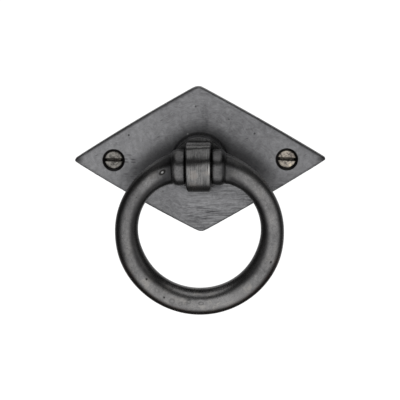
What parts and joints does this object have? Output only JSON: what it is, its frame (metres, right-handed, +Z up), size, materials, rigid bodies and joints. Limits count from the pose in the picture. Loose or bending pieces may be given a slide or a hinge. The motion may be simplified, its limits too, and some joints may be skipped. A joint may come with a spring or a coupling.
{
  "type": "drop pull",
  "caption": "Ring drop pull: a cast ring swings on a pin through a knuckle post riveted to a flat diamond backplate, held by countersunk wood screws.",
  "frame": {"origin": "middle of the backplate's flat back, which lies on the door or drawer front", "axes": "+X to the right as seen from the front, +Y from the front into the door, +Z up; the ring hangs down on the -Y side"},
  "size_m": [0.08, 0.0378, 0.0706],
  "materials": {
    "dark_bronze": "dark patina, brushed on the plate and cast on the ring",
    "screw_brass": "aged, turned",
    "pin_steel": "ground"
  },
  "bodies": {
    "plate": {"backplate": "dark_bronze", "post": "dark_bronze", "pivot_pin": "pin_steel", "screw_left": "screw_brass", "screw_right": "screw_brass"},
    "ring": {"ring": "dark_bronze"}
  },
  "joints": [
    {"name": "ring_swing", "type": "hinge", "parent": "plate", "child": "ring", "pos_m": [0, -0.0167, 0], "axis": [-1, 0, 0], "range_deg": [-16.5, 196.5]}
  ]
}
